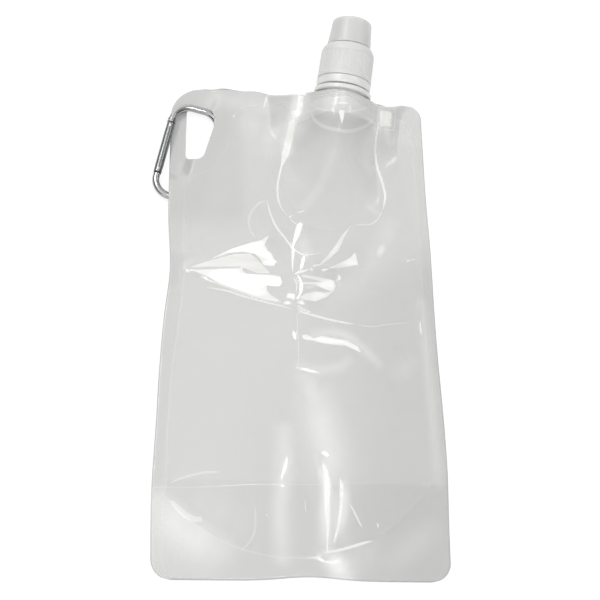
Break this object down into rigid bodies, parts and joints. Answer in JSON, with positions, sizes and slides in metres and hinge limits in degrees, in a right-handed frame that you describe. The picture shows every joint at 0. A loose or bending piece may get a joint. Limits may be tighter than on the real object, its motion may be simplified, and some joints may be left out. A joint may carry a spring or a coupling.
{
  "type": "soft flask",
  "caption": "Foldable clear film water pouch with a welded spout, screw cap with pull nozzle and dust cover, and a small carabiner through the hole of its tab.",
  "frame": {"origin": "middle of the overall box, on the table the flask lies on", "axes": "+Z out of the front film, +Y from the bottom edge towards the spout, +X to the right seen from the front"},
  "size_m": [0.1278, 0.2562, 0.032],
  "materials": {
    "film": "hazy clear laminate film, glossy",
    "spout_plastic": "milky natural plastic",
    "cap_plastic": "white moulded plastic, satin",
    "clear_plastic": "frosted clear plastic",
    "nozzle_plastic": "white plastic",
    "liner_foam": "white foam",
    "aluminium": "bright drawn wire",
    "pin_steel": "bright"
  },
  "bodies": {
    "lower_pouch": {"front_film_lower": "film", "back_film_lower": "film", "bottom_gusset": "film"},
    "upper_pouch": {"front_film_upper": "film", "back_film_upper": "film", "spout_fitment": "spout_plastic"},
    "tamper_ring": {"tamper_ring": "spout_plastic"},
    "cap_lift": {"cap_liner": "liner_foam"},
    "screw_cap": {"screw_cap": "cap_plastic"},
    "pull_nozzle": {"pull_nozzle": "nozzle_plastic"},
    "dust_cover": {"dust_cover": "clear_plastic"},
    "carabiner": {"carabiner_frame": "aluminium", "hinge_rivet": "pin_steel"},
    "gate": {"carabiner_gate": "aluminium", "latch_pin": "pin_steel", "gate_spring": "pin_steel", "spring_follower": "pin_steel"}
  },
  "joints": [
    {"name": "pouch_fold", "type": "hinge", "parent": "lower_pouch", "child": "upper_pouch", "pos_m": [0, -0.00013, 0.0045], "axis": [1, 0, 0], "range_deg": [0, 150]},
    {"name": "ring_spin", "type": "hinge", "parent": "upper_pouch", "child": "tamper_ring", "pos_m": [0.02202, 0.09511, 0.01581], "axis": [0.1233, 0.9624, 0.2419], "continuous": true},
    {"name": "cap_rise", "type": "slide", "parent": "upper_pouch", "child": "cap_lift", "axis": [0.1233, 0.9624, 0.2419], "range_m": [0, 0.0064]},
    {"name": "cap_turn", "type": "hinge", "parent": "cap_lift", "child": "screw_cap", "pos_m": [0.02325, 0.10473, 0.01823], "axis": [0.1233, 0.9624, 0.2419], "range_deg": [0, 720]},
    {"name": "nozzle_pull", "type": "slide", "parent": "screw_cap", "child": "pull_nozzle", "axis": [0.1233, 0.9624, 0.2419], "range_m": [0, 0.004]},
    {"name": "cover_pull", "type": "slide", "parent": "screw_cap", "child": "dust_cover", "axis": [0.1233, 0.9624, 0.2419], "range_m": [0, 0.018]},
    {"name": "carabiner_swing", "type": "hinge", "parent": "upper_pouch", "child": "carabiner", "pos_m": [-0.03749, 0.08282, 0.00268], "axis": [0.0566, -0.0361, 0.9977], "range_deg": [-5, 0]},
    {"name": "gate_open", "type": "hinge", "parent": "carabiner", "child": "gate", "pos_m": [-0.06149, 0.05437, 0.00301], "axis": [-0.0566, 0.0361, -0.9977], "range_deg": [0, 25], "stiffness_Nm_per_rad": 0.005, "springref_deg": -17.19}
  ],
  "couplings": [
    {"joint": "cap_turn", "follows": "cap_rise", "rad_per_m": 1963.5}
  ]
}
